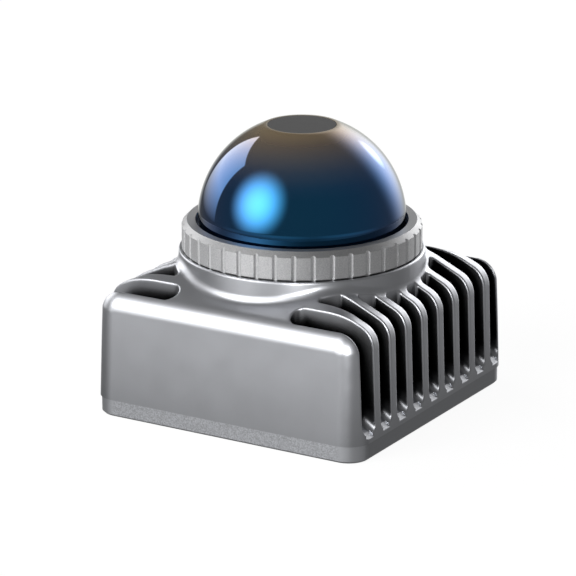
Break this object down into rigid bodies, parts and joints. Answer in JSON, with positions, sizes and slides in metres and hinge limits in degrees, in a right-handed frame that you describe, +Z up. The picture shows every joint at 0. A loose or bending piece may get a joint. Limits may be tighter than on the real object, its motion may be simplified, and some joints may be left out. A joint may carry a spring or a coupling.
{
  "type": "lidar sensor",
  "caption": "Palm-sized lidar sensor: square finned aluminium housing, fluted lock ring and dark glass dome over a spinning scan mirror, with a threaded plug socket at the rear.",
  "frame": {"origin": "centre of the base plate's underside", "axes": "+Z up through the dome, plain front face towards -Y, plug socket on the rear face towards +Y"},
  "size_m": [0.0648, 0.0739, 0.06],
  "materials": {
    "cast_aluminium": "satin cast",
    "base_aluminium": "sand blasted",
    "ring_aluminium": "bead blasted",
    "coated_dome": "dark interference coating, glossy",
    "cap_dark": "matt",
    "seal_rubber": "matt",
    "screw_steel": "plain",
    "nickel": "nickel plated",
    "insulator": "moulded",
    "contact_gold": "gold plated",
    "board_green": "solder mask",
    "chip_black": "moulded",
    "pad_grey": "soft",
    "black_aluminium": "black anodised",
    "lens_glass": "coated",
    "mirror_silver": "front silvered",
    "motor_steel": "laminated",
    "copper": "enamelled wire",
    "magnet_grey": "plated",
    "disc_steel": "etched"
  },
  "bodies": {
    "sensor": {"base_plate": "base_aluminium", "base_seal": "seal_rubber", "base_screws": "screw_steel", "housing": "cast_aluminium", "lock_ring": "ring_aluminium", "dome_window": "coated_dome", "dome_seal": "seal_rubber", "dome_cap_disc": "cap_dark", "connector_shell": "nickel", "connector_insert": "insulator", "connector_pins": "contact_gold", "connector_seal": "seal_rubber", "connector_nut": "nickel", "connector_board": "board_green", "board_plug": "insulator", "main_board": "board_green", "board_screws": "screw_steel", "main_chip": "chip_black", "thermal_pad": "pad_grey", "interface_chip": "chip_black", "lens_barrel": "black_aluminium", "fold_mirror": "mirror_silver", "objective_lens": "lens_glass", "detector_chip": "chip_black", "laser_module": "black_aluminium", "optics_bench": "black_aluminium", "bench_screws": "screw_steel", "lower_bearing": "screw_steel", "upper_bearing": "screw_steel", "motor_stator": "motor_steel", "stator_coils": "copper", "encoder_reader": "chip_black"},
    "scan_head": {"rotor_shaft": "screw_steel", "rotor_bell": "motor_steel", "rotor_magnets": "magnet_grey", "encoder_disc": "disc_steel", "mirror_holder": "black_aluminium", "scan_mirror": "mirror_silver", "balance_weight": "contact_gold"}
  },
  "joints": [
    {"name": "scan_spin", "type": "hinge", "parent": "sensor", "child": "scan_head", "pos_m": [0, 0, 0.03], "axis": [0, 0, 1], "continuous": true}
  ]
}
